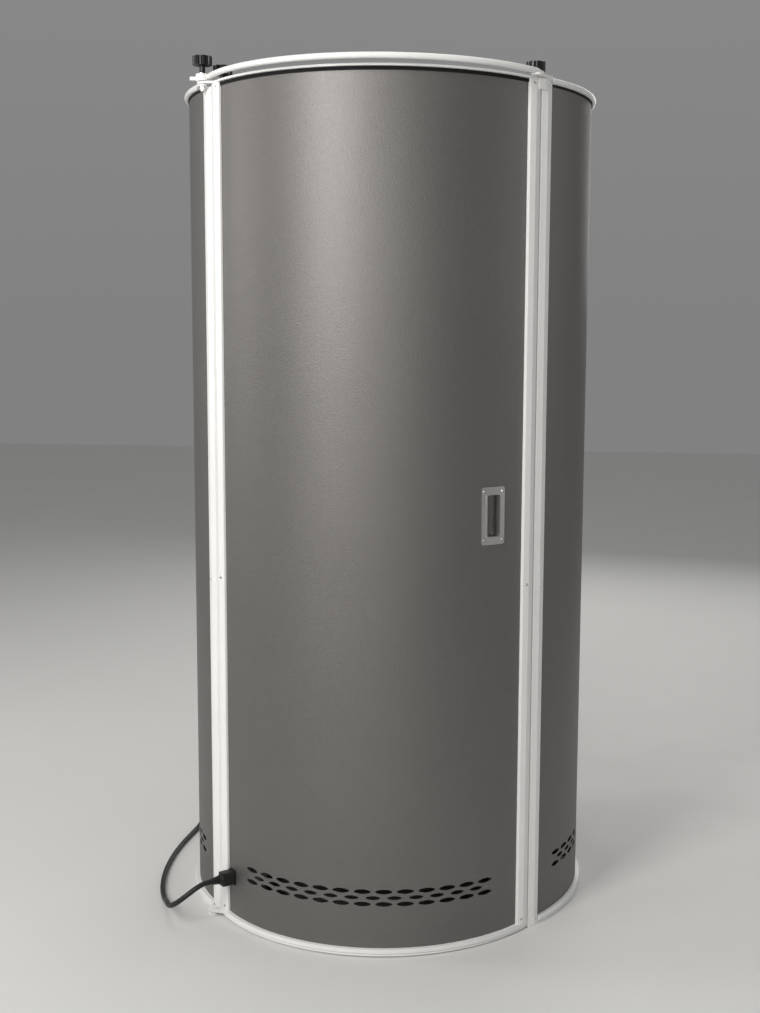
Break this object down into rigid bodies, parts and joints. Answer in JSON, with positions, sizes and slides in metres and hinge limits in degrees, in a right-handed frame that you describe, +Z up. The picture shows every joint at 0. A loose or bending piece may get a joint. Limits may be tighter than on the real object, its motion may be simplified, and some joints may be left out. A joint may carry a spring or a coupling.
{
  "type": "stand-up tanning cabin",
  "caption": "Round stand-up tanning cabin, open at the top: upright lamps all round behind clear guards, a curved hinged front door, a tie bar over it and a lead to the door.",
  "frame": {"origin": "middle of the whole outline, without the lead, on the floor", "axes": "+Z up, -Y towards the front of the cabin, where the door's middle is, +X towards the cabin's right side as one faces its front"},
  "size_m": [1.158, 1.131, 2.147],
  "materials": {
    "charcoal_skin": "fine-grained matt film on sheet steel",
    "white_profile": "white powder coat, semi-gloss",
    "black_strip": "matt",
    "black_plate": "matt black paint",
    "grey_sheet": "matt",
    "reflector": "bright anodised",
    "lamp_glass": "frosted",
    "white_plastic": "satin",
    "clear_guard": "clear, polished",
    "ballast_iron": "varnished laminations",
    "black_plastic": "satin",
    "lead_black": "matt",
    "handle_steel": "brushed",
    "bright_screws": "zinc plated",
    "magnet_black": "satin"
  },
  "bodies": {
    "cabin": {"left_skin": "charcoal_skin", "left_front_post": "white_profile", "left_rear_post": "white_profile", "left_ring": "white_profile", "left_strip": "black_strip", "left_top_plate": "black_plate", "left_base": "white_profile", "left_reflector": "reflector", "left_lamps": "lamp_glass", "left_lampholders": "white_plastic", "left_guard": "clear_guard", "left_deck": "grey_sheet", "left_ballasts": "ballast_iron", "left_fan_frame": "black_plastic", "left_outlet": "black_plastic", "left_plug": "lead_black", "right_skin": "charcoal_skin", "right_front_post": "white_profile", "right_rear_post": "white_profile", "right_ring": "white_profile", "right_strip": "black_strip", "right_top_plate": "black_plate", "right_base": "white_profile", "right_reflector": "reflector", "right_lamps": "lamp_glass", "right_lampholders": "white_plastic", "right_guard": "clear_guard", "right_deck": "grey_sheet", "right_ballasts": "ballast_iron", "right_fan_frame": "black_plastic", "supply_inlet": "black_plastic", "catch_magnets": "magnet_black", "side_screws": "bright_screws", "tie_bar": "white_profile", "pivot_bolt": "bright_screws", "link_lead": "lead_black"},
    "door": {"door_skin": "charcoal_skin", "door_hinge_post": "white_profile", "door_latch_post": "white_profile", "door_top_rail": "white_profile", "door_bottom_rail": "white_profile", "door_strip": "black_strip", "door_top_plate": "black_plate", "door_reflector": "reflector", "door_lamps": "lamp_glass", "door_lampholders": "white_plastic", "door_guard": "clear_guard", "door_deck": "grey_sheet", "door_ballasts": "ballast_iron", "door_inlet": "black_plastic", "door_handle": "handle_steel", "door_screws": "bright_screws", "door_catch_plates": "handle_steel", "door_plug": "lead_black"},
    "pivot_knob": {"pivot_knob": "black_plastic"},
    "left_knob": {"left_knob": "black_plastic"},
    "right_knob": {"right_knob": "black_plastic"},
    "left_fan_rotor": {"left_fan_rotor": "black_plastic"},
    "right_fan_rotor": {"right_fan_rotor": "black_plastic"}
  },
  "joints": [
    {"name": "door_hinge", "type": "hinge", "parent": "cabin", "child": "door", "pos_m": [-0.4152, -0.31638, 0], "axis": [0, 0, -1], "range_deg": [0, 110], "deforming": ["link_lead"]},
    {"name": "pivot_knob_turn", "type": "hinge", "parent": "cabin", "child": "pivot_knob", "pos_m": [-0.4152, -0.31638, 2.1], "axis": [0, 0, 1], "continuous": true},
    {"name": "left_knob_turn", "type": "hinge", "parent": "cabin", "child": "left_knob", "pos_m": [-0.38012, -0.2545, 2.1], "axis": [0, 0, 1], "continuous": true},
    {"name": "right_knob_turn", "type": "hinge", "parent": "cabin", "child": "right_knob", "pos_m": [0.38012, -0.2545, 2.1], "axis": [0, 0, 1], "continuous": true},
    {"name": "left_fan_spin", "type": "hinge", "parent": "cabin", "child": "left_fan_rotor", "pos_m": [-0.41668, 0.2197, 0.24], "axis": [0, 0, 1], "continuous": true},
    {"name": "right_fan_spin", "type": "hinge", "parent": "cabin", "child": "right_fan_rotor", "pos_m": [0.41668, 0.2197, 0.24], "axis": [0, 0, 1], "continuous": true}
  ]
}
